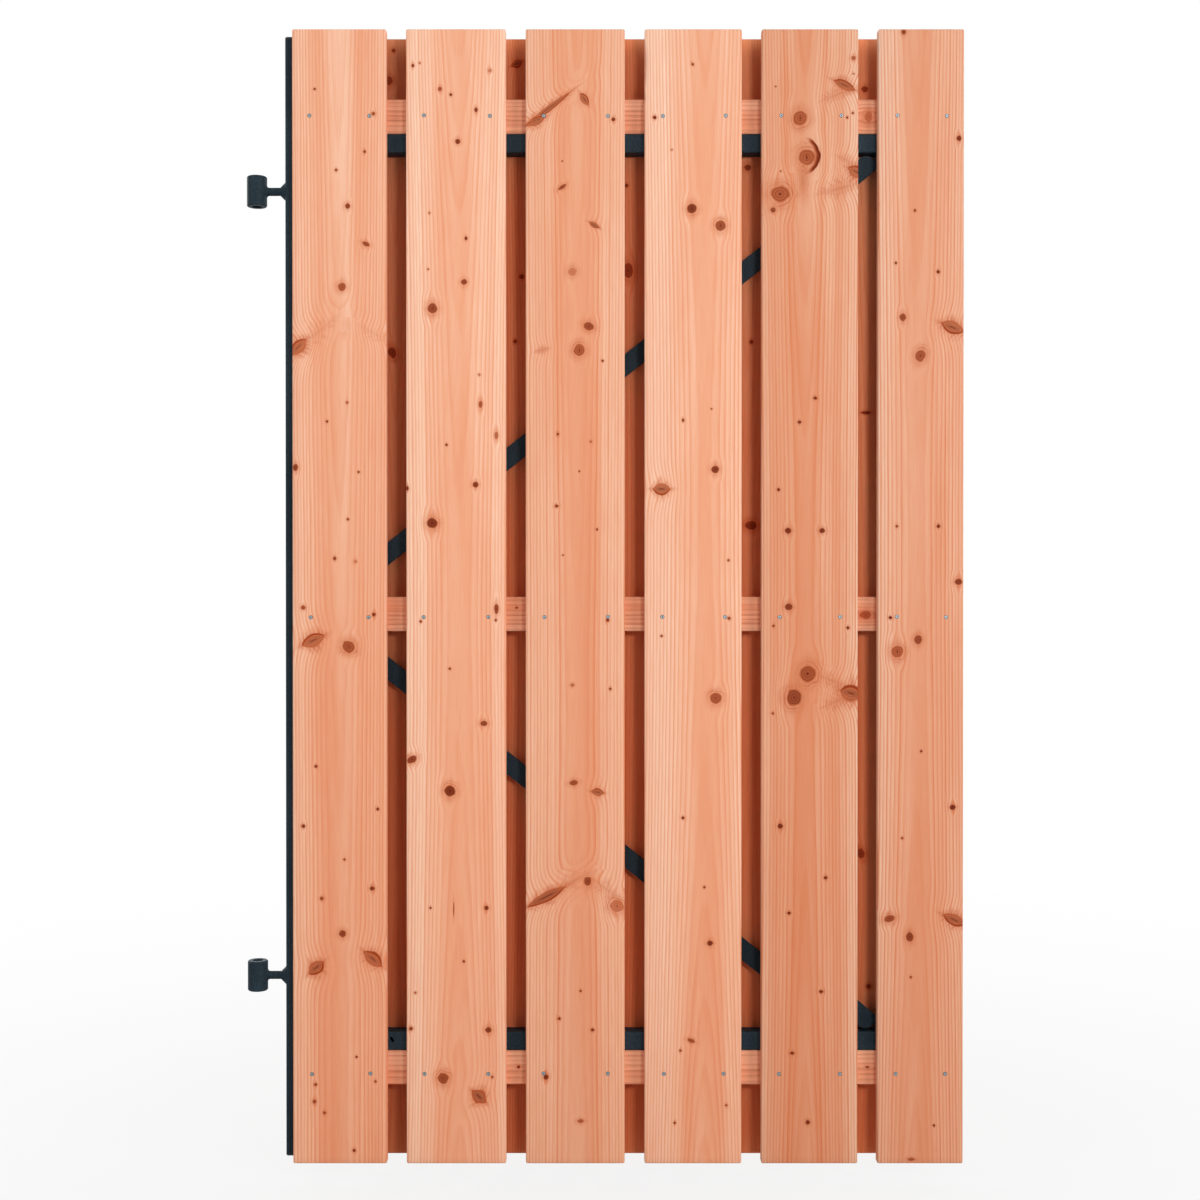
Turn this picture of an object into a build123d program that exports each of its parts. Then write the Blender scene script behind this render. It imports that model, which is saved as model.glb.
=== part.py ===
from build123d import *
import math
import os

# Garden gate leaf: two layers of upright boards on a welded steel frame with a K-brace

# Boards
leaf_width = 1064.5
board_length = 1800.0
board_thickness = 18.0
board_edge_round = 2.5
board_end_chamfer = 1.0
front_board_shares = (149.0, 158.0, 157.0, 154.0, 153.0, 136.0)
front_gap = 31.5
rear_board_width = 157.0

# Cross rails between the two layers of boards
rail_height = 55.0
rail_round = 3.0
bottom_rail_rise = 120.5
middle_rail_drop = 26.5
top_rail_drop = 106.0
rail_end_inset = 11.5
apex_slot_clearance = 0.5
apex_slot_spare = 5.0

# Square steel tube frame
tube_size = 30.0
tube_wall = 2.0
tube_corner = 3.0
upright_reveal = 14.4
upright_short = 9.5
lock_upright_inset = 5.5
cap_thickness = 3.0
cap_chamfer = 1.5
cap_plug_length = 12.0
cap_plug_clearance = 0.3
vent_length = 10.0
vent_width = 4.5
vent_tilt = -58.0
vent_from_upright = 139.5
vent_above_centre = 2.5

# Flat braces and the plates in the two lock-side corners
brace_width = 29.0
brace_thickness = 6.0
brace_apex_from_upright = 15.3
brace_apex_above_rail = 4.5
upper_brace_end_inset = 40.0
upper_brace_end_drop = 47.0
lower_brace_foot_inset = 54.5
plate_thickness = 6.0
plate_width = 30.0
plate_angle = 40.0
plate_length = 88.0
plate_end_from_upright = 20.5
plate_end_from_bar = 18.0
plate_tab_width = 6.0

# Hinge eyes on the hinge upright
eye_diameter = 32.0
eye_height = 48.0
eye_chamfer = 1.5
pin_diameter = 16.0
pin_clearance = 0.25
stem_diameter = 13.0
stem_fillet = 4.0
hinge_axis_offset = 47.6
collar_length = 10.0
collar_height = 33.0
collar_margin = 2.0
lower_eye_rise = 293.0
upper_eye_drop = 250.0

# Places that follow from the sizes, with the lower eye's underside at zero
ground = eye_height / 2 - lower_eye_rise
layer_depth = tube_size
layer_front = -layer_depth / 2
layer_back = layer_depth / 2
upright_left = hinge_axis_offset
upright_right = upright_left + tube_size
boards_left = upright_left + upright_reveal
board_scale = (leaf_width - (len(front_board_shares) - 1) * front_gap) / sum(front_board_shares)
front_board_widths = [share * board_scale for share in front_board_shares]
board_lefts = [boards_left]
for width in front_board_widths[:-1]:
    board_lefts.append(board_lefts[-1] + width + front_gap)
boards_right = boards_left + leaf_width
gap_centres = [left - front_gap / 2 for left in board_lefts[1:]]
lock_left = board_lefts[-1] + lock_upright_inset
lock_right = lock_left + tube_size
rail_right = boards_right - rail_end_inset
bottom_rail_z = ground + bottom_rail_rise
middle_rail_centre = ground + board_length / 2 - middle_rail_drop
middle_rail_z = middle_rail_centre - rail_height / 2
top_rail_z = ground + board_length - top_rail_drop - rail_height
bottom_bar_z = bottom_rail_z + rail_height
bottom_bar_top = bottom_bar_z + tube_size
top_bar_z = top_rail_z - tube_size
frame_height = top_rail_z - bottom_bar_z
apex_x = upright_right + brace_apex_from_upright
apex_z = middle_rail_centre + brace_apex_above_rail
upper_end_x = lock_left - upper_brace_end_inset
upper_end_z = top_bar_z - upper_brace_end_drop
lower_foot_x = lock_left - lower_brace_foot_inset
upper_slope = math.atan2(upper_end_z - apex_z, upper_end_x - apex_x)
lower_slope = math.atan2(apex_z - bottom_bar_top, lower_foot_x - apex_x)
upper_reach = middle_rail_z + rail_height - apex_z + brace_width / 2 / math.cos(upper_slope)
lower_reach = apex_z - middle_rail_z + brace_width / 2 / math.cos(lower_slope)
apex_slot_reach = max(upper_reach / math.tan(upper_slope), lower_reach / math.tan(lower_slope))
apex_slot_length = brace_apex_from_upright + apex_slot_reach + apex_slot_spare
upright_bottom = ground + upright_short
upright_length = board_length - 2 * upright_short
plug_size = tube_size - 2 * tube_wall - 2 * cap_plug_clearance
bore_radius = pin_diameter / 2 + pin_clearance
collar_depth = tube_size - 2 * collar_margin
upper_eye_z = ground + board_length - upper_eye_drop
lower_eye_z = ground + lower_eye_rise

os.makedirs("parts", exist_ok=True)


def write(piece, name):
    piece.part.label = name
    export_step(piece.part, f"parts/{name}.step")


def tube_profile():
    RectangleRounded(tube_size, tube_size, tube_corner)
    RectangleRounded(
        tube_size - 2 * tube_wall,
        tube_size - 2 * tube_wall,
        max(tube_corner - tube_wall, 0.5),
        mode=Mode.SUBTRACT,
    )


def make_board(name, left, width, face_y):
    with BuildPart() as board:
        with BuildSketch(Plane.XY.offset(ground)):
            with Locations((left + width / 2, face_y + board_thickness / 2)):
                RectangleRounded(width, board_thickness, board_edge_round)
        extrude(amount=board_length)
        ends = board.faces().filter_by(Axis.Z)
        chamfer(ends.edges(), board_end_chamfer)
    write(board, name)


def make_rail(name, left, right, bottom, slot_length=0):
    end = Plane(origin=(left, 0, bottom + rail_height / 2), x_dir=(0, 1, 0), z_dir=(1, 0, 0))
    with BuildPart() as rail:
        with BuildSketch(end):
            RectangleRounded(layer_depth, rail_height, rail_round)
        extrude(amount=right - left)
        if slot_length:
            with BuildSketch(end):
                with Locations((brace_thickness / 2, 0)):
                    Rectangle(brace_thickness + 2 * apex_slot_clearance, rail_height)
            extrude(amount=slot_length, mode=Mode.SUBTRACT)
    write(rail, name)


# Front boards, from the hinge side
for index, (left, width) in enumerate(zip(board_lefts, front_board_widths), start=1):
    make_board(f"front_board_{index}", left, width, layer_front - board_thickness)

# Rear boards, one behind each gap
for index, centre in enumerate(gap_centres, start=1):
    make_board(f"rear_board_{index}", centre - rear_board_width / 2, rear_board_width, layer_back)

# Cross rails: the top one lies on the top bar, the bottom one hangs under the bottom bar
make_rail("top_rail", upright_right, rail_right, top_rail_z)
make_rail("bottom_rail", upright_right, rail_right, bottom_rail_z)

# The middle rail is slotted where the braces meet and stops at the lock upright
make_rail("middle_rail", upright_right, lock_left, middle_rail_z, apex_slot_length)
make_rail("middle_rail_stub", lock_right, rail_right, middle_rail_z)

# Frame tubes
with BuildPart() as hinge_upright:
    with BuildSketch(Plane.XY.offset(upright_bottom)):
        with Locations((upright_left + tube_size / 2, 0)):
            tube_profile()
    extrude(amount=upright_length)
write(hinge_upright, "hinge_upright")

with BuildPart() as lock_upright:
    with BuildSketch(Plane.XY.offset(bottom_bar_z)):
        with Locations((lock_left + tube_size / 2, 0)):
            tube_profile()
    extrude(amount=frame_height)
write(lock_upright, "lock_upright")

with BuildPart() as top_bar:
    with BuildSketch(Plane.YZ.offset(upright_right)):
        with Locations((0, top_bar_z + tube_size / 2)):
            tube_profile()
    extrude(amount=lock_left - upright_right)
write(top_bar, "top_bar")

# The bottom bar has a slanting drain hole in its front wall
with BuildPart() as bottom_bar:
    with BuildSketch(Plane.YZ.offset(upright_right)):
        with Locations((0, bottom_bar_z + tube_size / 2)):
            tube_profile()
    extrude(amount=lock_left - upright_right)
    vent_centre = (
        upright_right + vent_from_upright,
        layer_front,
        bottom_bar_z + tube_size / 2 + vent_above_centre,
    )
    with BuildSketch(Plane(origin=vent_centre, x_dir=(1, 0, 0), z_dir=(0, -1, 0))):
        SlotOverall(vent_length, vent_width, rotation=vent_tilt)
    extrude(amount=-2 * tube_wall, mode=Mode.SUBTRACT)
write(bottom_bar, "bottom_bar")


# Plugged caps on the two ends of the hinge upright
def make_cap(name, end_z, outward):
    normal = (0, 0, outward)
    seat = Plane(origin=(upright_left + tube_size / 2, 0, end_z), x_dir=(1, 0, 0), z_dir=normal)
    with BuildPart() as cap:
        with BuildSketch(seat):
            RectangleRounded(tube_size, tube_size, tube_corner)
        extrude(amount=cap_thickness)
        rim = cap.faces().sort_by(Axis((0, 0, 0), normal))[-1]
        chamfer(rim.edges(), cap_chamfer)
        with BuildSketch(seat):
            Rectangle(plug_size, plug_size)
        extrude(amount=-cap_plug_length)
    write(cap, name)


make_cap("upper_cap", upright_bottom + upright_length, 1)
make_cap("lower_cap", upright_bottom, -1)


# Braces: flat strips from the apex on the hinge upright, mitred against each other there
def make_brace(name, slope, far_x, keep):
    apex = Plane(origin=(apex_x, 0, apex_z), x_dir=(1, 0, 0), z_dir=(0, -1, 0))
    with BuildPart() as brace:
        with BuildSketch(apex):
            Rectangle(2 * (lock_right - apex_x) / math.cos(slope), brace_width, rotation=math.degrees(slope))
        extrude(amount=-brace_thickness)
        split(bisect_by=Plane.XY.offset(apex_z), keep=keep)
        split(bisect_by=Plane.YZ.offset(upright_right), keep=Keep.TOP)
        split(bisect_by=Plane.YZ.offset(far_x), keep=Keep.BOTTOM)
        split(bisect_by=Plane.XY.offset(top_bar_z), keep=Keep.BOTTOM)
        split(bisect_by=Plane.XY.offset(bottom_bar_top), keep=Keep.TOP)
    write(brace, name)


make_brace("upper_brace", upper_slope, upper_end_x, Keep.TOP)
make_brace("lower_brace", -lower_slope, lock_left, Keep.BOTTOM)


# Corner plates: a round-ended tongue along the brace with a tab up to the bar
def make_corner_plate(name, bar_face, side):
    slope = math.radians(plate_angle)
    plane = Plane(origin=(lock_left, 0, bar_face), x_dir=(1, 0, 0), z_dir=(0, -1, 0))
    end = Vector(-plate_end_from_upright, -side * plate_end_from_bar)
    along = Vector(-math.cos(slope), -side * math.sin(slope))
    middle = end + along * (plate_length / 2)
    half_width = plate_width / 2
    edge = end + Vector(math.sin(slope), -side * math.cos(slope)) * half_width
    edge_at_upright = edge.Y - side * math.tan(slope) * edge.X
    with BuildPart() as plate:
        with BuildSketch(plane):
            with Locations((end.X, end.Y)):
                Circle(half_width)
            with Locations((middle.X, middle.Y)):
                Rectangle(plate_length, plate_width, rotation=side * plate_angle)
            with BuildLine():
                Polyline(
                    (edge.X, edge.Y),
                    (0, edge_at_upright),
                    (0, 0),
                    (-plate_tab_width, 0),
                    (-plate_tab_width, end.Y),
                    close=True,
                )
            make_face()
        extrude(amount=plate_thickness)
    write(plate, name)


make_corner_plate("upper_corner_plate", top_bar_z, 1)
make_corner_plate("lower_corner_plate", bottom_bar_top, -1)


# Hinge eyes: a bored barrel on a round stem that flares where it is welded to the upright
def make_eye(name, centre_z):
    with BuildPart() as eye:
        with BuildSketch(Plane.XY.offset(centre_z - eye_height / 2)):
            Circle(eye_diameter / 2)
        extrude(amount=eye_height)
        rims = eye.edges().filter_by(GeomType.CIRCLE)
        chamfer(rims, eye_chamfer)
        with BuildSketch(Plane(origin=(0, 0, centre_z), x_dir=(0, 1, 0), z_dir=(1, 0, 0))):
            Circle(stem_diameter / 2)
        extrude(amount=upright_left)
        root = eye.edges().filter_by(GeomType.BSPLINE)
        fillet(root, stem_fillet)
        collar_back = Plane(
            origin=(upright_left - collar_length, 0, centre_z),
            x_dir=(0, 1, 0),
            z_dir=(1, 0, 0),
        )
        with BuildSketch(collar_back):
            Circle(stem_diameter / 2)
        with BuildSketch(collar_back.offset(collar_length)):
            Ellipse(collar_depth / 2, collar_height / 2)
        loft()
        with BuildSketch(Plane.XY.offset(centre_z - eye_height / 2)):
            Circle(bore_radius)
        extrude(amount=eye_height, mode=Mode.SUBTRACT)
    write(eye, name)


make_eye("lower_hinge_eye", lower_eye_z)
make_eye("upper_hinge_eye", upper_eye_z)
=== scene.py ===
import math
import random

import bmesh
import bpy
from mathutils import Matrix, Vector, noise


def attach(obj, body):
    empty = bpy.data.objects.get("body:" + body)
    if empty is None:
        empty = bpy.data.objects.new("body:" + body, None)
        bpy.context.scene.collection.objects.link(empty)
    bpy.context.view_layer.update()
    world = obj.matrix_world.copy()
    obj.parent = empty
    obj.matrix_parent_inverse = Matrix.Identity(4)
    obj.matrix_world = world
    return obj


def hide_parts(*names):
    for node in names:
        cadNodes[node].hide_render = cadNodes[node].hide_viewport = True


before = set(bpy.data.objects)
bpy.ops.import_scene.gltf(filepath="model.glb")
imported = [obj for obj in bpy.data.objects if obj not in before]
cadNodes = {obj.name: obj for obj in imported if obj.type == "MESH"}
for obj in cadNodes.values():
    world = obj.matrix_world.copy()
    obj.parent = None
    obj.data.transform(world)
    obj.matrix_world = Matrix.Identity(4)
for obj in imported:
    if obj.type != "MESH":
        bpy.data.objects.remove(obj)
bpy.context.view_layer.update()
mm = 0.001
slack = 0.01  # how far off an axis a direction may be and still count as along it


def tint(red, green, blue):
    # a colour as read on screen, turned to Blender's linear values
    shares = [channel / 255 for channel in (red, green, blue)]
    linear = [((s + 0.055) / 1.055) ** 2.4 if s > 0.04 else s / 12.92 for s in shares]
    return (*linear, 1.0)


class Value:
    # wraps an output socket, so that sums and products on it add Math nodes
    def __init__(self, finish, socket):
        self.finish = finish
        self.socket = socket

    def math(self, operation, *others):
        return self.finish.node("Math", {"operation": operation}, dict(enumerate((self, *others))))

    def __add__(self, other):
        return self.math("ADD", other)

    def __sub__(self, other):
        return self.math("SUBTRACT", other)

    def __rsub__(self, other):
        return self.finish.node("Math", {"operation": "SUBTRACT"}, {0: other, 1: self})

    def __mul__(self, other):
        return self.math("MULTIPLY", other)

    def __truediv__(self, other):
        return self.math("DIVIDE", other)

    def __rtruediv__(self, other):
        return self.finish.node("Math", {"operation": "DIVIDE"}, {0: other, 1: self})

    __radd__ = __add__
    __rmul__ = __mul__


class Finish:
    # one material and the few ways its nodes are made
    def __init__(self, name, **constants):
        self.material = bpy.data.materials.new(name)
        self.material.use_nodes = True
        self.tree = self.material.node_tree
        self.shader = self.tree.nodes["Principled BSDF"]
        for socketName, value in constants.items():
            self.shader.inputs[socketName.replace("_", " ")].default_value = value

    def feed(self, socket, value):
        if isinstance(value, Value):
            self.tree.links.new(value.socket, socket)
        else:
            socket.default_value = value

    def node(self, kind, settings=None, inputs=None, out=0):
        made = self.tree.nodes.new("ShaderNode" + kind)
        for key, setting in (settings or {}).items():
            if key == "stops":
                ramp = made.color_ramp.elements
                while len(ramp) < len(setting):
                    ramp.new(1.0)
                for stop, (position, grey) in zip(ramp, setting):
                    stop.position = position
                    stop.color = (grey, grey, grey, 1.0)
            else:
                setattr(made, key, setting)
        for key, value in (inputs or {}).items():
            self.feed(made.inputs[key], value)
        return Value(self, made.outputs[out])

    def number(self, value):
        made = self.node("Value")
        made.socket.default_value = value
        return made

    def spot(self):
        return self.node("TexCoord", None, None, 3)  # Object coordinates

    def attribute(self, name, out=0):
        return self.node("Attribute", {"attribute_name": name}, None, out)

    def split(self, vector):
        first = self.node("SeparateXYZ", None, {0: vector})
        return [Value(self, socket) for socket in first.socket.node.outputs]

    def noise(self, vector, scale, detail, roughness=0.5, dimensions="3D"):
        inputs = {"Vector": vector, "Scale": scale, "Detail": detail, "Roughness": roughness}
        return self.node("TexNoise", {"noise_dimensions": dimensions}, inputs)

    def flatNoise(self, x, y, detail=0.0, roughness=0.5):
        return self.noise(self.node("CombineXYZ", None, {0: x, 1: y}), 1.0, detail, roughness, "2D")

    def ease(self, value, low, high, start=0.0, end=1.0):
        inputs = {"Value": value, "From Min": low, "From Max": high, "To Min": start, "To Max": end}
        return self.node("MapRange", {"interpolation_type": "SMOOTHSTEP"}, inputs)

    def blend(self, amount, first, second, mode="MIX"):
        settings = {"data_type": "RGBA", "blend_type": mode}
        return self.node("Mix", settings, {0: amount, 6: first, 7: second}, 2)

    def layer(self, colour, coats):
        for amount, coat in coats:
            colour = self.blend(amount, colour, coat)
        return colour

    def surface(self, **sockets):
        for socketName, value in sockets.items():
            self.feed(self.shader.inputs[socketName.replace("_", " ")], value)

    def spread(self, look, pattern):
        return look["roughness"] + pattern * look["roughSpread"] - look["roughSpread"] / 2

    def bump(self, height, strength, distance):
        inputs = {"Height": height, "Strength": strength, "Distance": distance}
        self.surface(Normal=self.node("Bump", None, inputs))


def addMesh(name, bm, materials):
    mesh = bpy.data.meshes.new(name)
    bm.to_mesh(mesh)
    bm.free()
    for material in materials:
        mesh.materials.append(material)
    made = bpy.data.objects.new(name, mesh)
    bpy.context.scene.collection.objects.link(made)
    return made


def finishMesh(name, bm, materials):
    piece = addMesh(name, bm, materials)
    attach(piece, "root")
    return piece


# softwood, shared by the boards and the rails
# fibreShare, toneShare, streakFrom and sapFrom are fades: where a change starts and where it is full,
# then its least and its most, if these are not 0 and 1
woodLook = {
    "early": tint(251, 194, 162),
    "late": tint(228, 126, 78),
    "streak": tint(234, 146, 104),
    "sapwood": tint(255, 220, 194),
    "knotPale": tint(203, 105, 66),
    "knotDark": tint(114, 40, 18),
    "knotPith": tint(98, 22, 4),
    "knotHalo": tint(222, 130, 88),
    "knotLine": tint(190, 82, 40),
    "ringWidth": 4.3 * mm,
    "wander": 2.6 * mm,  # how far the slow drift moves the rings
    "spacing": (55, 0.6),  # how often wide and narrow years take turns, and by how many rings
    "jitter": (130, 8, 0.2),  # how often the lines shake across and along, and by how many rings
    "yearRise": [(0.0, 0.0), (0.3, 0.05), (0.62, 0.5), (0.8, 1.0), (0.92, 0.85), (1.0, 0.0)],
    "weakYear": 0.42,  # the palest year's share of the darkest one's
    "lateShare": 0.78,
    "plainBand": 0.036,  # the rings fade towards the heart's own line over this many metres
    "plainShare": 0.3,  # what is left of them on that line
    "fibre": (700, 16),  # how fine it is across and along
    "fibreShare": (0.2, 0.85, 0.0, 0.26),
    "toneShare": (0.3, 0.75, 0.0, 0.42),
    "streakFrom": (-0.12, 0.22),
    "streakShare": 0.4,
    "sapFrom": (0.028, 0.075),  # metres away from the heart's line
    "sapShare": 0.25,
    "seedSteps": {"year": 17, "jitter": 2.3},
    "roughness": 0.62,
    "roughSpread": 0.16,
    "bump": (0.15, 0.3 * mm),
    "specular": 0.06,
}

# slow changes: how strong, how often across and along, and the step from seed to seed
slowLook = {
    "drift": (0.5, 11, 2, 5.3),
    "tone": (0.4, 24, 1.1, 9),
    "fleck": (0.3, 50, 3.5, 7),
}

# lengths are in knot radii; one value without a note is a share, and two or more are a fade as above
knotLook = {
    "bigSize": (5.0, 8.5),  # in mm: over these a knot shows rings, and a round one a collar
    "hairySize": (7.0, 10.0),  # in mm: over these a spike knot shows barbs
    "faintDark": (0.3, 0.2),  # a knot that is paler than these is only a soft stain
    "bigDark": (0.3, 1.0),
    "waver": (0.9, 0.3),  # how often and how far the outline wavers
    "lensBend": 0.9,  # how pointed a spike knot is
    "darkSide": (-0.5, 0.8),
    "paleSide": (0.25, 0.2),  # what is left of a mark on the pale side, and how much more on a spike knot
    "softMiddle": 0.05,  # keeps the side from flipping sharply in the middle
    "outside": (0.9, 1.15),
    "body": (1.12, 0.86),
    "bodySpike": 0.1,  # a spike knot's edge is this much softer
    "bodyFaint": (0.4, 0.6),  # and a faint knot's, outwards and inwards
    "bodyDark": (0.05, 0.2),
    "bodyShare": (0.1, 0.5, 0.3),
    "spikePale": 0.35,
    "stainDark": (0.3, 0.1),
    "rimInner": (0.8, 0.97),
    "rimOuter": (1.15, 1.0),
    "rimSpike": (0.3, 0.15),  # how much wider a spike knot's rim is, inwards and outwards
    "rimEdge": (0.3, 0.45),  # of a round knot, and how much more of a spike knot
    "rimDark": (0.1, 0.6),
    "rimLine": 1.5,
    "pith": (0.28, 0.08),
    "pithVary": (0.85, 0.25),  # the mean, and the swing from knot to knot
    "pithShare": (0.2, 0.75),  # the least, and how much more on a dark knot
    "crackOdds": (0.0, 0.2),
    "crackWide": (0.1, 0.03),
    "crackLong": (0.5, 0.25),
    "coreWide": (0.46, 0.06),
    "coreLong": (0.85, 0.15),
    "coreShare": 0.75,
    "rings": (17, 3),  # how close they are, and how far they waver
    "ringDark": (0.2, 0.4),
    "ringShare": 0.5,
    "halo": (2.8, 0.9),
    "haloDark": (0.05, 0.4),
    "haloShare": 0.48,
    "arcs": (14, 4),  # the same for the collar's arcs
    "arcFrom": (-0.3, 1.0),
    "collar": (2.3, 1.2),
    "collarShare": 0.52,
    "barbs": (0.45, 2.6, 0.25),  # how many, how far they sweep back, and how fast they change
    "barbFrom": (0.48, 0.7),
    "barbReach": (3.0, 0.9),
    "barbShare": (0.0, 0.3, 0.0, 0.42),
    "streaks": (0.42, 0.3),  # how many, and how fast they change
    "streakFrom": (0.36, 0.62, 0.25),
    "flameThin": (5, 3.4),  # how narrow the tail is, and how much wider on a big knot
    "flameReach": (3.4, 0.8),
    "whiskerThin": 9,  # how narrow the marks past a knot's two ends are
    "whiskerReach": (2.3, 0.8),
    "whiskerShare": (0.4, 0.6),  # of a round knot, and how much more of a spike knot
    "tailBig": 0.35,
    "tailShare": 0.6,
    "swell": (0.3, 0.1, 0.15),  # how fast it fades along x and y, and by how many rings for each mm of size
    "push": (0.35, 0.08, 1.1 * mm),  # the same fades, and how far it moves the grain for each mm away
    "pushReach": (4.4, 2.6),
    "barkSeed": 100,  # a knot whose seed is over this has a crescent of bark beside it
    "barkAway": 1.85,  # how far the crescent is from the knot's middle
    "barkUp": 0.2,  # how far above it
    "barkBend": 0.27,  # how much it curves
    "barkWaver": 0.25,  # how far its edge wavers
    "barkOuter": (-0.05, 0.1),
    "barkInner": (0.95, 0.15),
    "barkEnds": (2.5, 1.6),
    "barkLine": 1.4,
    "seedSteps": {  # how far a pattern moves on from knot to knot
        "waver": (7.3, 3.7), "turn": 2.4, "barbs": 9.1, "streaks": 4.9, "crack": 5.1, "pith": 3.3,
    },
}


def knotMarks(finish, x, y, size, code, look=knotLook):
    # x and y are in knot radii, size in millimetres, below zero for a spike knot that was cut lengthwise
    # the code's whole part is a seed, its rest the darkness
    def fade(value, name):
        return ease(value, *look[name])

    ease = finish.ease
    steps = look["seedSteps"]
    seed = code.math("FLOOR")
    dark = code.math("FRACT")
    spike = ease(size, 1.0, -1.0)
    rounded = 1 - spike
    size = size.math("ABSOLUTE")
    big = fade(size, "bigSize")
    faint = fade(dark, "faintDark")
    wideX, wideY = x.math("ABSOLUTE"), y.math("ABSOLUTE")
    squareX, squareY = x * x, y * y

    # far is 1 on the knot's edge, round or like a lens
    often, strong = look["waver"]
    stepX, stepY = steps["waver"]
    uneven = finish.flatNoise(x * often + seed * stepX, y * often + seed * stepY, detail=1.0) - 0.5
    roundFar = (squareX + squareY).math("SQRT")
    lensFar = wideY + squareX * look["lensBend"]
    far = (roundFar + (lensFar - roundFar) * spike) * (1 + strong * uneven)
    outside = fade(far, "outside")

    # each knot is darker on one side
    turn = seed * steps["turn"]
    toSide = x * rounded * turn.math("SINE") + y * (1 + spike) * turn.math("COSINE")
    facing = toSide / (roundFar + look["softMiddle"])
    paleSide, paleSpike = look["paleSide"]
    oneSided = ease(facing, *look["darkSide"], paleSide + paleSpike * spike)

    outer, inner = look["body"]
    softer = look["bodySpike"] * spike
    faintOut, faintIn = look["bodyFaint"]
    body = ease(far, outer + softer + faintOut * faint, inner - softer - faintIn * faint)
    innerStart, innerFull = look["rimInner"]
    outerStart, outerFull = look["rimOuter"]
    spikeIn, spikeOut = look["rimSpike"]
    rim = ease(far, innerStart - spikeIn * spike, innerFull)
    rim = rim * ease(far, outerStart + spikeOut * spike, outerFull)
    rimRound, rimMore = look["rimEdge"]

    cracked = fade((seed * steps["crack"]).math("SINE"), "crackOdds") * big
    crack = fade(wideX, "crackWide") * fade(wideY, "crackLong") * cracked
    core = fade(wideY, "coreWide") * fade(wideX, "coreLong") * spike * look["coreShare"]
    pithMean, pithSwing = look["pithVary"]
    pith = fade(roundFar, "pith") * (pithMean + pithSwing * (seed * steps["pith"]).math("SINE"))

    def waves(name):
        close, waver = look[name]
        return (far * close + uneven * waver).math("SINE")

    def mound(name):
        fadeX, fadeY, high = look[name]
        return (squareX * -fadeX - squareY * fadeY).math("EXPONENT") * size * high

    # hairs along a spike knot, and the tail above and below
    barbCount, barbSweep, barbRun = look["barbs"]
    sweptBack = x * size * barbCount - wideY.math("SQRT") * barbSweep
    barbs = fade(finish.flatNoise(sweptBack + seed * steps["barbs"], y * barbRun), "barbFrom")
    hairy = fade(size, "hairySize") * spike
    streakCount, streakRun = look["streaks"]
    streaks = finish.flatNoise(x * size * streakCount + seed * steps["streaks"], y * streakRun)
    thin, wider = look["flameThin"]
    flame = (squareX * (wider * big - thin)).math("EXPONENT") * fade(wideY, "flameReach")
    tail = flame * fade(streaks, "streakFrom")
    whisker = (squareY * -look["whiskerThin"]).math("EXPONENT") * fade(wideX, "whiskerReach")
    whiskerRound, whiskerMore = look["whiskerShare"]
    tails = tail * rounded + whisker * (whiskerRound + whiskerMore * spike)

    lean = y - look["barkUp"]
    crescent = look["barkAway"] - lean * lean * look["barkBend"] - x + uneven * look["barkWaver"]
    bark = fade(crescent, "barkOuter") * fade(crescent, "barkInner")
    barked = ease(seed, look["barkSeed"] - 1, look["barkSeed"])
    return {
        "dark": dark,
        "depth": dark * (1 - big) + fade(dark, "bigDark") * big,
        "big": big,
        "spike": spike,
        "body": body * fade(dark, "bodyDark"),
        "rim": rim * oneSided * (rimRound + rimMore * spike),
        "pith": (pith + crack).math("MINIMUM", 1.0) * rounded + core,
        "halo": fade(far, "halo") * fade(dark, "haloDark"),
        "rings": ease(waves("rings"), 0.0, 1.0) * fade(dark, "ringDark"),
        "bark": bark * fade(lean.math("ABSOLUTE"), "barkEnds") * barked,
        "tail": tails * dark * (1 - look["tailBig"] * big * rounded),
        "collar": fade(waves("arcs"), "arcFrom") * fade(far, "collar") * outside * oneSided * big * rounded,
        "barbs": barbs * fade(far, "barbReach") * outside * hairy,
        "swell": mound("swell") * spike,
        "push": mound("push") * x * fade(roundFar, "pushReach") * rounded,
    }


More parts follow.
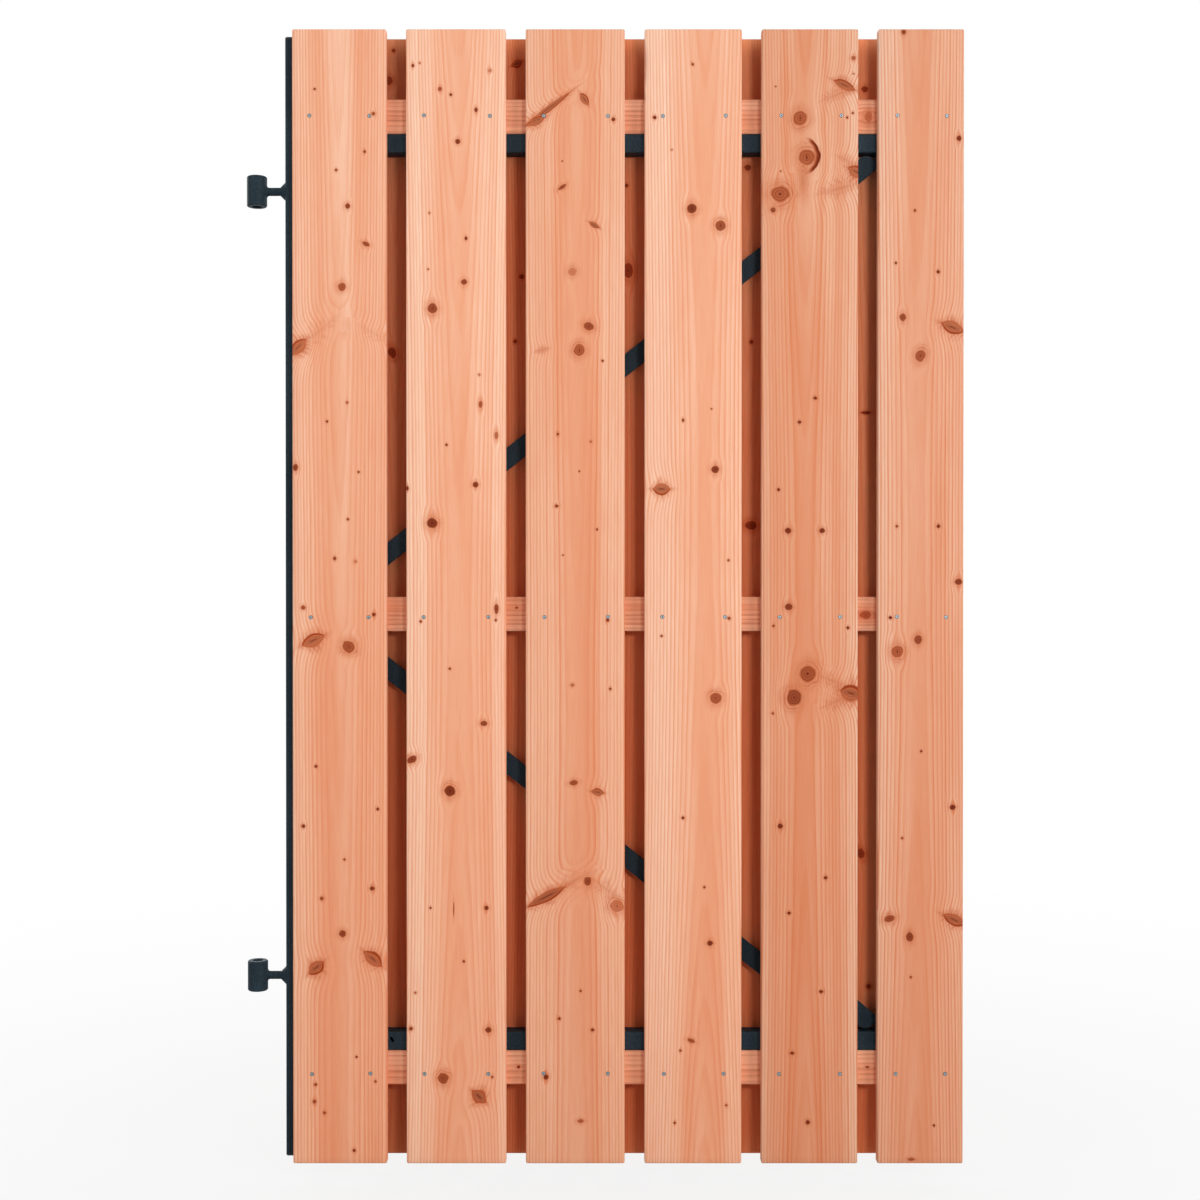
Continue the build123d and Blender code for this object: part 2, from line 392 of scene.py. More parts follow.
def growGrain(finish, place, heart, slow, seed, knots, look):
    # place: across, along and depth in the plank in metres
    # heart: the tree's middle across and behind the face, how much the trunk bows, and where it turns
    # slow: how the rings drift, how the tone changes, how dark or pale the spot is, and how clear the grain
    across, along, depth = place
    heartAcross, heartDepth, bow, turnsAt = heart
    drift, tone, shade, contrast = slow
    past = along - turnsAt
    side = across - heartAcross
    for knot in knots:
        side = side - knot["push"]
    rise = depth - heartDepth + past * past * bow + drift * look["wander"]
    ring = (side * side + rise * rise).math("SQRT")
    spacingOften, spacingRings = look["spacing"]
    spacing = finish.flatNoise(ring * spacingOften, seed, detail=1.0) - 0.5
    jitterAcross, jitterAlong, jitterRings = look["jitter"]
    jitterSeed = seed * look["seedSteps"]["jitter"]
    jitter = finish.flatNoise((across + depth) * jitterAcross, along * jitterAlong + jitterSeed) - 0.5
    phase = ring / look["ringWidth"] + spacing * spacingRings + jitter * jitterRings
    for knot in knots:
        phase = phase + knot["swell"]
    year = phase.math("FLOOR") + seed * look["seedSteps"]["year"]
    strong = finish.node("TexWhiteNoise", {"noise_dimensions": "1D"}, {"W": year})
    late = finish.node("ValToRGB", {"stops": look["yearRise"]}, {0: phase.math("FRACT")})
    late = late * (look["weakYear"] + (1 - look["weakYear"]) * strong)
    late = late * finish.ease(side.math("ABSOLUTE"), 0.0, look["plainBand"], look["plainShare"])
    fibreAcross, fibreAlong = look["fibre"]
    fibreAt = ((across + depth) * fibreAcross, along * fibreAlong + seed)
    fibre = finish.flatNoise(*fibreAt, detail=1.0, roughness=0.7)
    outer = finish.ease(side.math("ABSOLUTE"), *look["sapFrom"])

    colour = finish.layer(look["early"], [
        (finish.ease(tone, *look["toneShare"]), look["streak"]),
        (finish.ease(spacing, *look["streakFrom"]) * contrast * look["streakShare"], look["streak"]),
        (outer * look["sapShare"], look["sapwood"]),
        (shade.math("MAXIMUM", 0.0), look["streak"]),
        ((shade * -1).math("MAXIMUM", 0.0), look["sapwood"]),
        (late * (0.5 + 0.5 * contrast) * look["lateShare"], look["late"]),
        (finish.ease(fibre, *look["fibreShare"]), look["late"]),
    ])
    return colour, fibre


def stainKnot(finish, colour, knot, look, marks=knotLook):
    # the marks round a knot go on first, then its body and its rim
    dark, bark = knot["dark"], knot["bark"]
    rim = knot["rim"] * finish.ease(dark, *marks["rimDark"])
    pithLeast, pithMore = marks["pithShare"]
    body = finish.layer(look["knotPale"], [
        (knot["depth"], look["knotDark"]),
        (knot["spike"] * marks["spikePale"], look["streak"]),
        (finish.ease(dark, *marks["stainDark"]), look["knotHalo"]),
        (knot["rings"] * knot["big"] * marks["ringShare"], look["knotDark"]),
        (knot["pith"] * (pithLeast + pithMore * dark), look["knotPith"]),
    ])
    return finish.layer(colour, [
        (knot["halo"] * marks["haloShare"], look["knotHalo"]),
        (knot["collar"] * marks["collarShare"], look["knotLine"]),
        (knot["barbs"] * finish.ease(dark, *marks["barbShare"]), look["knotLine"]),
        (knot["tail"] * marks["tailShare"], look["knotLine"]),
        ((bark * marks["barkLine"]).math("MINIMUM", 1.0), look["knotLine"]),
        (bark * bark, look["knotDark"]),
        (knot["body"] * finish.ease(dark, *marks["bodyShare"]), body),
        ((rim * marks["rimLine"]).math("MINIMUM", 1.0), look["knotLine"]),
        (rim * rim, look["knotDark"]),
    ])


def growWood(finish, place, heart, slow, seed, knots, look, plankTint):
    colour, fibre = growGrain(finish, place, heart, slow, seed, knots, look)
    for knot in knots:
        colour = stainKnot(finish, colour, knot, look)
    colour = finish.blend(1.0, colour, plankTint, "MULTIPLY")
    finish.surface(Base_Color=colour, Roughness=finish.spread(look, fibre))
    finish.bump(fibre, *look["bump"])


def boardFinish():
    finish = Finish("boardWood", Specular_IOR_Level=woodLook["specular"])
    place = finish.split(finish.attribute("plank", 1))
    heart = finish.split(finish.attribute("heart", 1)) + [finish.attribute("plankTint", 3)]
    seed = finish.attribute("heart", 3)
    knots = []
    for name in ("knotNear", "knotNext"):
        x, y, size = finish.split(finish.attribute(name, 1))
        knots.append(knotMarks(finish, x, y, size, finish.attribute(name, 3)))
    slow = finish.split(finish.attribute("slow", 1)) + [finish.attribute("slow", 3)]
    growWood(finish, place, heart, slow, seed, knots, woodLook, finish.attribute("plankTint"))
    return finish.material


boardWood = boardFinish()
print("stage: board wood made")

# heart: share of the width, mm behind the face, bow per metre, height in metres where the trunk turns
# bands: share of the width, half width in mm, darker or (below zero) paler at the foot and at the head
# knots: across from the left edge and up from the bottom end in mm, half width, half height, turn, darkness
frontBoards = {
    "front_board_1": {
        "heart": (0.5, 45, 0.004, -0.3), "tint": (0.98, 0.985, 0.98), "contrast": 1.15,
        "bands": [
            (0.0, 14, -0.45, 0.0), (0.3, 20, 0.12, 0.12), (0.57, 14, -0.1, -0.15), (0.84, 20, 0.3, 0.3),
        ],
        "knots": [
            (36, 1705, 2, 2, 0, 0.75), (129, 1666, 3, 3, 0, 0.5), (115, 1606, 2.2, 2.2, 0, 0.8),
            (70, 1577, 2.2, 2.2, 0, 0.7), (88, 1520, 3.8, 4.2, 0, 0.75), (117, 1460, 6, 3.5, -25, 0.6),
            (79, 1392, 6, 6.5, 0, 0.55), (10, 1297, 16, 9, 45, 0.55), (85, 1333, 5, 8, 0, 0.12),
            (36, 1316, 34, 8, 40, 0.14), (130, 1318, 22, 5, -30, 0.12),
            (87, 1209, 2, 2, 0, 0.5), (55, 1179, 2, 2, 0, 0.9), (5, 1106, 4, 5.5, 0, 0.75),
            (105, 1099, 2, 2, 0, 0.8), (88, 1024, 2, 2, 0, 0.7), (67, 962, 2.5, 3, 0, 0.7),
            (100, 957, 2.5, 2.5, 0, 0.3), (17, 884, 3.5, 3.5, 0, 0.5), (129, 873, 3, 3, 0, 0.8),
            (33, 832, 18, 9.5, 25, 0.5), (89, 822, 10, 8.5, -35, 0.6), (37, 632, 2.5, 2.5, 0, 0.85),
            (135, 564, 2.5, 2.5, 0, 0.8), (17, 537, 3, 3, 0, 0.8), (82, 484, 2, 2, 0, 0.6),
            (126, 438, 4, 3.5, 0, 0.8), (46, 422, 3, 3, 0, 0.6), (79, 366, 5.5, 5.5, 0, 0.7),
            (37, 312, 14, 9, 40, 0.6), (127, 326, 17, 9, -40, 0.55), (101, 170, 2, 2, 0, 0.8),
            (36, 126, 2.5, 2.5, 0, 0.7), (34, 99, 3, 3, 0, 0.6), (50, 81, 2.5, 2.5, 0, 0.6),
            (131, 131, 2, 2, 0, 0.6), (97, 21, 2.5, 2.5, 0, 0.85),
        ],
    },
    "front_board_2": {
        "heart": (0.53, 52, 0.022, 0.84), "tint": (1.0, 1.05, 1.075), "contrast": 0.95,
        "bands": [(0.08, 30, -0.5, -0.15), (0.46, 28, 0.36, 0.36), (1.0, 18, -0.2, 0.0)],
        "knots": [
            (11, 1742, 2.2, 3, 0, 0.85), (22, 1746, 1.5, 2, 0, 0.4), (133, 1734, 3, 3, 0, 0.3),
            (54, 1705, 3, 3.5, 0, 0.55), (71, 1696, 2.2, 2.2, 0, 0.9), (111, 1672, 2.5, 4, 0, 0.85),
            (82, 1622, 4, 4, 0, 0.85), (37, 1509, 1.5, 1.5, 0, 0.5), (95, 1469, 2.3, 3, 0, 0.9),
            (35, 1420, 1.5, 1.5, 0, 0.6), (92, 1400, 4.5, 4.5, 0, 0.75), (42, 1358, 7.5, 8, 0, 0.72),
            (116, 1253, 2, 2, 0, 0.35), (118, 1206, 3, 5.5, 0, 0.5), (143, 1157, 3, 6, 0, 0.4),
            (64, 1142, 2, 2, 0, 0.9), (110, 1079, 4.5, 4.5, 0, 0.85), (2, 1073, 2, 4, 0, 0.9),
            (41, 1018, 8, 8, 0, 0.85), (143, 882, 3.5, 8, 0, 0.7), (142, 864, 2, 2, 0, 0.8),
            (23, 862, 2, 2, 0, 0.85), (69, 787, 2, 2, 0, 0.85), (123, 700, 5.5, 4, 0, 0.7),
            (9, 643, 8, 5.5, 30, 0.75), (69, 593, 8.5, 8.5, 0, 0.85), (38, 407, 2, 2, 0, 0.7),
            (127, 407, 3.5, 3.5, 0, 0.85), (75, 405, 1, 11, 0, 0.5), (91, 322, 2, 2, 0, 0.9),
            (14, 272, 2, 2, 0, 0.4), (7, 215, 3, 3, 0, 0.75), (130, 213, 5, 4.5, 0, 0.8),
            (58, 136, 8.5, 8.5, 0, 0.66), (136, 138, 2, 2, 0, 0.7), (115, 107, 13, 9.5, -42, 0.7),
        ],
    },
    "front_board_3": {
        "heart": (0.52, 42, 0.008, 0.7), "tint": (0.915, 0.915, 0.905), "contrast": 1.2,
        "bands": [(0.56, 26, -0.1, 0.55), (0.3, 50, -0.25, 0.05), (0.85, 20, -0.15, -0.1)],
        "knots": [
            (36, 1674, 40, 4, 37, 0.62), (16, 1654, 15, 6, 24, 0.75), (93, 1689, 10.5, 5.5, -55, 0.6),
            (139, 1657, 3, 3, 0, 0.9), (58, 1591, 1.3, 1.3, 0, 0.7), (58, 1550, 7, 2.8, 35, 0.65),
            (109, 1490, 9, 3.6, -30, 0.75), (74, 1416, 6.5, 6.5, 0, 0.3), (100, 1330, 8, 6, -20, 0.65),
            (85, 1292, 8.5, 9, 0, 0.55), (26, 1292, 9.5, 5, 15, 0.22), (122, 1275, 2, 2, 0, 0.8),
            (51, 1159, 2, 2, 0, 0.8), (103, 1147, 2, 2, 0, 0.4), (85, 1100, 1.5, 1.5, 0, 0.8),
            (49, 1045, 3, 2.5, 0, 0.7), (113, 1008, 2, 2, 0, 0.6), (59, 967, 1.5, 1.5, 0, 0.5),
            (130, 864, 2.5, 2.5, 0, 0.8), (74, 761, 3, 2.5, 0, 0.35), (134, 755, 2, 2, 0, 0.8),
            (76, 606, 6.5, 4, 10, 0.55), (114, 591, 9.5, 5.5, -8, 0.6), (98, 450, 5.5, 7.5, 0, 0.7),
            (33, 425, 31, 7, 28, 0.7), (145, 410, 10.5, 9, 0, 0.35), (87, 275, 2, 2, 0, 0.7),
            (78, 452, 24, 7, 25, 0.16), (126, 438, 24, 7, -38, 0.16), (53, 231, 2.5, 2.5, 0, 0.75),
            (106, 213, 3, 2.5, 0, 0.75), (32, 138, 4, 4, 0, 0.85), (87, 68, 5, 3, 0, 0.4),
        ],
    },
    "front_board_4": {
        "heart": (0.62, 55, 0.02, 1.06), "tint": (0.96, 1.045, 1.095), "contrast": 1.0,
        "bands": [(0.2, 22, -0.3, -0.15), (0.58, 26, 0.34, 0.32), (0.95, 18, -0.2, 0.15)],
        "knots": [
            (76, 1744, 2, 2.5, 30, 0.8), (16, 1660, 3, 3, 0, 0.9), (43, 1609, 1.5, 1.5, 0, 0.4),
            (75, 1516, 7.5, 7.5, 0, 0.85), (120, 1489, 8, 8, 0, 0.68), (106, 1199, 1.5, 1.5, 0, 0.7),
            (61, 1181, 2, 3, 0, 0.85), (112, 1103, 6, 6, 0, 0.85), (27, 1072, 13, 8.5, 0, 0.65),
            (133, 959, 2, 2, 0, 0.6), (27, 839, 2, 2, 0, 0.8), (134, 867, 2.5, 2.5, 0, 0.7),
            (113, 740, 9, 8.5, -20, 0.62), (61, 550, 2.5, 2.5, 0, 0.85), (95, 440, 2, 2, 0, 0.8),
            (104, 351, 4.5, 4, 0, 0.9), (74, 196, 6, 3, -20, 0.55), (57, 180, 2, 2, 0, 0.7),
            (130, 93, 2, 2, 0, 0.5), (48, 65, 2, 2, 0, 0.8),
        ],
        "nicks": [("left", 1745, 80, 2.2), ("left", 1690, 16, 1.2)],
    },
    "front_board_5": {
        "heart": (0.45, 40, 0.016, 0.78), "tint": (0.81, 0.79, 0.765), "contrast": 1.5,
        "bands": [(0.0, 18, -0.4, 0.1), (0.4, 22, 0.6, 0.45), (1.0, 11, -1.0, -0.25)],
        "barked": 4,  # this knot, counted from 0, has the crescent of bark
        "knots": [
            (145, 1754, 3.5, 3.5, 0, 0.4), (145, 1728, 2, 2, 0, 0.8), (131, 1711, 17, 6.5, -25, 0.6),
            (61, 1659, 10.5, 11, 0, 0.5), (71, 1597, 12, 12.5, 0, 0.52), (29, 1539, 14, 12.5, 0, 0.5),
            (18, 1514, 4, 4, 0, 0.85), (150, 1574, 14, 9, -25, 0.5), (135, 1660, 1.8, 1.8, 0, 0.8),
            (144, 1667, 1.8, 1.8, 0, 0.8), (22, 1709, 1.3, 1.3, 0, 0.7), (30, 1575, 1.3, 1.3, 0, 0.7),
            (119, 1696, 20, 6, 22, 0.19), (124, 1548, 26, 8, 15, 0.19), (135, 1592, 14, 5, -25, 0.18),
            (65, 1557, 6, 18, 0, 0.23), (112, 768, 15, 6, -20, 0.18), (118, 735, 18, 6, 25, 0.18),
            (85, 1216, 3, 2.5, 0, 0.85), (60, 1178, 3, 2.5, 0, 0.85), (27, 1071, 2.5, 2.5, 0, 0.85),
            (42, 1006, 5, 4.5, 0, 0.85), (96, 1006, 4.5, 4, 0, 0.85), (43, 885, 6, 5, 0, 0.75),
            (19, 855, 2, 2, 0, 0.7), (137, 852, 2.5, 2.5, 0, 0.85), (73, 779, 12.5, 13, 0, 0.58),
            (52, 741, 11.5, 12.5, 0, 0.67), (142, 748, 17, 12, -15, 0.6), (18, 716, 2, 2, 0, 0.5),
            (30, 537, 4, 4, 0, 0.9), (102, 455, 3, 2.5, 0, 0.85), (44, 399, 3, 2.5, 0, 0.85),
            (95, 274, 3.5, 2.5, 0, 0.85), (49, 176, 3.5, 2.5, 0, 0.8), (74, 66, 3.5, 3.5, 0, 0.8),
        ],
    },
    "front_board_6": {
        "heart": (0.45, 45, 0.014, 0.97), "tint": (0.815, 0.82, 0.82), "contrast": 1.4,
        "bands": [(0.05, 22, -0.4, -0.38), (0.5, 34, 0.36, 0.42), (1.0, 10, -0.2, 0.0)],
        "knots": [
            (40, 1795, 3.5, 4, 0, 0.65), (128, 1627, 3.8, 4.5, 0, 0.85), (58, 1513, 2, 2, 0, 0.85),
            (28, 1430, 2, 2, 0, 0.85), (95, 1416, 2.7, 2.7, 0, 0.9), (39, 1344, 5, 6, 0, 0.6),
            (118, 1328, 18, 9, -22, 0.55), (67, 1283, 7.5, 9.5, -15, 0.58), (30, 1013, 2, 2, 0, 0.8),
            (96, 1013, 3, 3, 0, 0.85), (128, 925, 5.5, 5, 0, 0.75), (20, 868, 3, 2.5, 0, 0.9),
            (64, 833, 6, 7, 0, 0.65), (31, 814, 9, 9, 0, 0.5), (69, 656, 2, 2, 0, 0.85),
            (119, 567, 4.5, 4, 0, 0.9), (39, 518, 2, 2, 0, 0.6), (19, 390, 8, 5.5, 15, 0.6),
            (51, 361, 5.5, 7.5, 0, 0.7), (122, 388, 18, 8, -25, 0.55), (53, 297, 2, 2, 0, 0.6),
            (90, 61, 2, 2, 0, 0.85), (54, 7, 5.5, 2.5, 0, 0.4),
        ],
    },
}

plankShape = {
    "sunkFace": 0.5 * mm,  # the outer face lies back by this much, so the screw heads stay in the CAD box
    "edgeRound": 2.5 * mm,
    "roundSteps": 3,
    "acrossCuts": 13,
    "alongCuts": 149,
    "sharpAngle": 60,  # in degrees, the edges that are rounded
    "nickReach": 6 * mm,
    "nickSlope": 0.6,  # how far a nick goes into the thickness, for each mm of its depth
    "spikeFrom": 8.5,  # a long knot with a half width over this many mm is a spike knot
    "spikeLong": 1.3,  # if that is over this many half heights
    "footTint": (1.035, 0.965, 0.91),  # the boards' colour is redder and darker at the foot than at the head
    "headTint": (1.0, 1.09, 1.14),
}


def boxOf(node):
    corners = [Vector(corner) for corner in node.bound_box]
    low = Vector([min(c[axis] for c in corners) for axis in range(3)])
    high = Vector([max(c[axis] for c in corners) for axis in range(3)])
    return low, high


def edgesAlong(bm, axis):
    chosen = []
    for edge in bm.edges:
        run = edge.verts[1].co - edge.verts[0].co
        if abs(run[axis]) > (1 - slack) * run.length:
            chosen.append(edge)
    return chosen


def shapePlank(low, high, shape):
    bm = bmesh.new()
    bmesh.ops.create_cube(bm, size=1.0)
    bmesh.ops.scale(bm, vec=high - low, verts=bm.verts)
    bmesh.ops.translate(bm, vec=(low + high) / 2, verts=bm.verts)
    bmesh.ops.subdivide_edges(bm, edges=edgesAlong(bm, 2), cuts=shape["alongCuts"], use_grid_fill=True)
    bmesh.ops.subdivide_edges(bm, edges=edgesAlong(bm, 0), cuts=shape["acrossCuts"], use_grid_fill=True)
    sharp = [edge for edge in bm.edges if edge.calc_face_angle(0.0) > math.radians(shape["sharpAngle"])]
    bmesh.ops.bevel(bm, geom=sharp, offset=shape["edgeRound"], segments=shape["roundSteps"],
                    profile=0.5, affect="EDGES", material=-1, clamp_overlap=True)
    for face in bm.faces:
        face.smooth = True
    return bm


def cutNicks(bm, low, high, nicks, shape):
    # a nick pulls the plank's edge inwards over a short length
    for sideName, up, length, deep in nicks:
        edgeX, inward = (low.x, 1) if sideName == "left" else (high.x, -1)
        for vert in bm.verts:
            near = 1 - abs(vert.co.x - edgeX) / shape["nickReach"]
            part = 1 - (abs(vert.co.z - low.z - up * mm) / (length * mm / 2)) ** 2
            if near > 0 and part > 0 and vert.co.y < (low.y + high.y) / 2:
                vert.co.x += inward * deep * mm * near * part
                vert.co.y += deep * mm * near * part * shape["nickSlope"]


def slowNoise(pattern, across, along, seed):
    share, wide, tall, seedStep = pattern
    return share * noise.noise((across * wide, along * tall, seed * seedStep))


def markPlank(bm, low, high, look, seed):
    # writes where each point lies in its plank, and the two knots that matter to each face
    place = bm.verts.layers.float_vector.new("plank")
    heart = bm.verts.layers.float_color.new("heart")
    plankTint = bm.verts.layers.float_color.new("plankTint")
    slow = bm.verts.layers.float_color.new("slow")
    nearLayers = [bm.loops.layers.float_color.new(name) for name in ("knotNear", "knotNext")]
    width = high.x - low.x
    heartShare, heartDepth, bow, turnsAt = look["heart"]
    contrast = look.get("contrast", 1.0)
    for vert in bm.verts:
        vert[place] = (vert.co.x - low.x, vert.co.z - low.z, abs(vert.co.y - look["faceY"]))
        vert[heart] = (heartShare * width, heartDepth * mm, bow, seed)
        inside = abs(vert.co.y - look["faceY"]) > 0.5 * (high.y - low.y)
        share = (vert.co.z - low.z) / (high.z - low.z)
        ends = zip(plankShape["footTint"], plankShape["headTint"])
        fade = [foot + (head - foot) * share for foot, head in ends]
        # the inner face takes the painted shade tint, the outer face the plank's own tint
        base = look["innerShadeTint" if inside else "tint"]
        vert[plankTint] = (*[channel * part for channel, part in zip(base, fade)], turnsAt)
        across, along, depth = vert[place]
        drift = slowNoise(slowLook["drift"], across + depth, along, seed)
        tone = 0.5 + slowNoise(slowLook["tone"], across + depth, along, seed)
        tone += contrast * slowNoise(slowLook["fleck"], across + depth, along, seed)
        shade = 0
        for bandShare, halfWide, foot, head in look.get("bands", []):
            away = (across - bandShare * width) / (halfWide * mm)
            shade += (foot + (head - foot) * share) * math.exp(-away * away)
        vert[slow] = (drift, tone, shade, contrast)

    def isSpike(knot):
        halfWide, halfHigh = knot[2:4]
        return halfWide > plankShape["spikeFrom"] and halfWide > plankShape["spikeLong"] * halfHigh

    def local(knot, point):
        # x runs along the knot, and for a spike knot away from the plank's nearer edge
        across, up, halfWide, halfHigh, turn, dark = knot
        dx = (point.x - low.x) / mm - across
        dz = (point.z - low.z) / mm - up
        cosTurn, sinTurn = math.cos(math.radians(turn)), math.sin(math.radians(turn))
        inward = -1 if isSpike(knot) and across * mm > width / 2 else 1
        along = inward * (dx * cosTurn + dz * sinTurn)
        return along / halfWide, (dz * cosTurn - dx * sinTurn) / halfHigh

    numbered = list(enumerate(look["knots"]))
    for face in bm.faces:
        middle = face.calc_center_median()
        closest = sorted(numbered, key=lambda entry: math.hypot(*local(entry[1], middle)))[:2]
        for layer, (number, knot) in zip(nearLayers, closest):
            halfWide, halfHigh = knot[2:4]
            size = math.sqrt(halfWide * halfHigh)
            if isSpike(knot):
                size = -size
            code = number + 1 + knot[-1]
            if number == look.get("barked"):
                code += knotLook["barkSeed"]
            for loop in face.loops:
                x, y = local(knot, loop.vert.co)
                loop[layer] = (x, y, size, code)


def makePlank(nodeName, look, seed, front):
    low, high = boxOf(cadNodes[nodeName])
    if front:
        low.y += plankShape["sunkFace"]
    else:
        high.y -= plankShape["sunkFace"]
    # a front plank has no painted shade: its inner face keeps its own tint
    look = {"innerShadeTint": look["tint"], **look, "faceY": low.y if front else high.y}
    bm = shapePlank(low, high, plankShape)
    markPlank(bm, low, high, look, seed)
    cutNicks(bm, low, high, look.get("nicks", []), plankShape)
    plank = finishMesh(nodeName + ".planed", bm, [boardWood])
    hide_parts(nodeName)
    return low, high


# knots: those that show between the front boards; the others are grown, with lengths in mm
rearBoards = {
    "grown": 12,
    "grownSizes": [2, 2, 2.5, 4, 6, 9],
    "grownStretch": (0.9, 1.3),
    "grownTurn": (-25, 25),
    "grownDark": (0.5, 0.85),
    "edgeRoom": 8,
    "endRoom": 20,
    "heart": [(0.35, 0.65), (38, 56), (0.015, 0.03), (0.6, 1.2)],  # each drawn between two values
    "tint": (0.97, 0.94, 0.92),
    "innerShadeTint": (0.82, 0.53, 0.37),  # painted shade: the inner face, seen in the gaps between the front boards, is tinted darker and redder
    "shades": {  # a factor on that painted shade tint, lower is darker, on that inner face alone
        "rear_board_1": 0.8, "rear_board_2": 0.98, "rear_board_3": 1.02, "rear_board_4": 1.04,
        "rear_board_5": 1.1,
    },
    "seed": 40,
    "woodSeed": 10.0,
    "shown": (55, 105),  # the strip that shows between the front boards gets no grown knots
    "knots": {
        "rear_board_1": [(66, 1295, 6, 9, 20, 0.7), (69, 1781, 3, 3, 0, 0.6), (59, 1732, 8, 7, 0, 0.6)],
        "rear_board_2": [(78, 1760, 9, 6, 25, 0.7), (86, 1417, 4, 4, 0, 0.6), (75, 1313, 3, 3, 0, 0.7)],
        "rear_board_3": [(66, 1564, 3, 3, 0, 0.7), (69, 1427, 8, 12, 0, 0.65)],
        "rear_board_4": [(76, 1593, 5, 5, 0, 0.7), (82, 1016, 9, 7, 0, 0.7), (82, 1312, 3, 3, 0, 0.7)],
        "rear_board_5": [(80, 1719, 5, 5, 0, 0.6), (83, 1198, 8, 2.5, 0, 0.7), (75, 486, 6, 8, 20, 0.65),
                         (88, 271, 4, 4, 0, 0.6)],
    },
}


def growKnots(rng, width, length, look):
    made = []
    while len(made) < look["grown"]:
        across = rng.uniform(look["edgeRoom"], width - look["edgeRoom"])
        size = rng.choice(look["grownSizes"])
        up = rng.uniform(look["endRoom"], length - look["endRoom"])
        tall = size * rng.uniform(*look["grownStretch"])
        knot = (across, up, size, tall, rng.uniform(*look["grownTurn"]), rng.uniform(*look["grownDark"]))
        if not look["shown"][0] < across < look["shown"][1]:
            made.append(knot)
    return made


plankBoxes = {}
for number, (nodeName, look) in enumerate(frontBoards.items()):
    plankBoxes[nodeName] = makePlank(nodeName, look, number + 1.0, True)
print("stage: front boards planed")
for number, (nodeName, shownKnots) in enumerate(rearBoards["knots"].items(), 1):
    rng = random.Random(rearBoards["seed"] + number)
    low, high = boxOf(cadNodes[nodeName])
    # each rear board's painted shade on its inner face, made stronger or weaker for that board
    shade = rearBoards["shades"][nodeName]
    grown = growKnots(rng, (high.x - low.x) / mm, (high.z - low.z) / mm, rearBoards)
    look = {
        "heart": [rng.uniform(*span) for span in rearBoards["heart"]],
        "tint": rearBoards["tint"],
        "innerShadeTint": [channel * shade for channel in rearBoards["innerShadeTint"]],
        "knots": shownKnots + grown,
    }
    plankBoxes[nodeName] = makePlank(nodeName, look, rearBoards["woodSeed"] + number, False)
print("stage: rear boards planed")

# heart: metres from the rail's underside and behind its face, bow and turn along X
# knots: X and Z in metres, half width and half height in mm, darkness
rails = {
    "top_rail": {
        "low": 1.370, "heart": (-0.02, 0.03, 0.01, 0.4), "seed": 21.0, "tint": (0.907, 0.81, 0.75, 1.0),
        "knots": [(0.978, 1.3966, 6, 8, 0.3), (0.39, 1.39, 4, 3, 0.6)],
    },
    "middle_rail": {
        "low": 0.577, "heart": (0.07, 0.025, 0.01, 0.7), "seed": 22.0, "tint": (0.897, 0.8, 0.735, 1.0),
        "knots": [(0.974, 0.603, 9, 6, 0.5), (0.4167, 0.6146, 2, 1.6, 0.7)],
    },
    "bottom_rail": {
        "low": -0.1485, "heart": (-0.015, 0.035, 0.012, 0.3), "seed": 23.0, "tint": (1.0, 0.91, 0.83, 1.0),
        "knots": [(0.4197, -0.1199, 2.5, 2.5, 0.8), (0.9773, -0.1202, 3, 1.5, 0.7)],
    },
}

railLook = {
    **woodLook,
    "late": tint(184, 98, 62),
    "lateShare": 0.6,
    "ringWidth": 6.5 * mm,
    "halfDeep": 15 * mm,  # from the middle of the rail's depth to its face
    "contrast": 1.0,
}


def railFinish(name, look):
    finish = Finish(name, Specular_IOR_Level=railLook["specular"])
    x, y, z = finish.split(finish.spot())
    knots = []
    for number, (atX, atZ, halfWide, halfHigh, dark) in enumerate(look["knots"]):
        size = finish.number(math.sqrt(halfWide * halfHigh))
        code = finish.number(number + 1 + dark)
        up, along = (z - atZ) / (halfHigh * mm), (x - atX) / (halfWide * mm)
        knots.append(knotMarks(finish, up, along, size, code))
    place = (z - look["low"], x, y + railLook["halfDeep"])
    seed = finish.number(look["seed"])
    driftWide, driftLong, driftStep = slowLook["drift"][1:]
    toneWide, toneLong, toneStep = slowLook["tone"][1:]
    drift = finish.flatNoise(z * driftWide, x * driftLong + seed * driftStep) - 0.5
    tone = finish.flatNoise(z * toneWide, x * toneLong + seed * toneStep, detail=1.0)
    slow = (drift, tone, finish.number(0.0), railLook["contrast"])
    growWood(finish, place, look["heart"], slow, seed, knots, railLook, look["tint"])
    return finish.material


def dress(nodeName, material):
    mesh = cadNodes[nodeName].data
    mesh.materials.clear()
    mesh.materials.append(material)


for nodeName, look in rails.items():
    railWood = railFinish(nodeName + "Wood", look)
    dress(nodeName, railWood)
    if nodeName == "middle_rail":
        dress("middle_rail_stub", railWood)
print("stage: rails dressed")

steelLook = {
    "coat": tint(35, 48, 56),
    "coatPale": tint(47, 62, 71),
    "coatDark": tint(19, 31, 38),
    "speck": tint(58, 72, 80),
    "grainScale": 900.0,
    "mottleScale": 330.0,
    "mottleFrom": (0.38, 0.62),
    "mottleShare": 0.5,
    "cloudScale": 9.0,
    "cloudFrom": (0.3, 0.7),
    "speckScale": 420.0,
    "speckFrom": (0.62, 0.74),
    "speckShare": 0.3,
    "roughness": 0.56,
    "roughSpread": 0.18,
    "bump": (0.25, 0.3 * mm),
    "specular": 0.08,
}


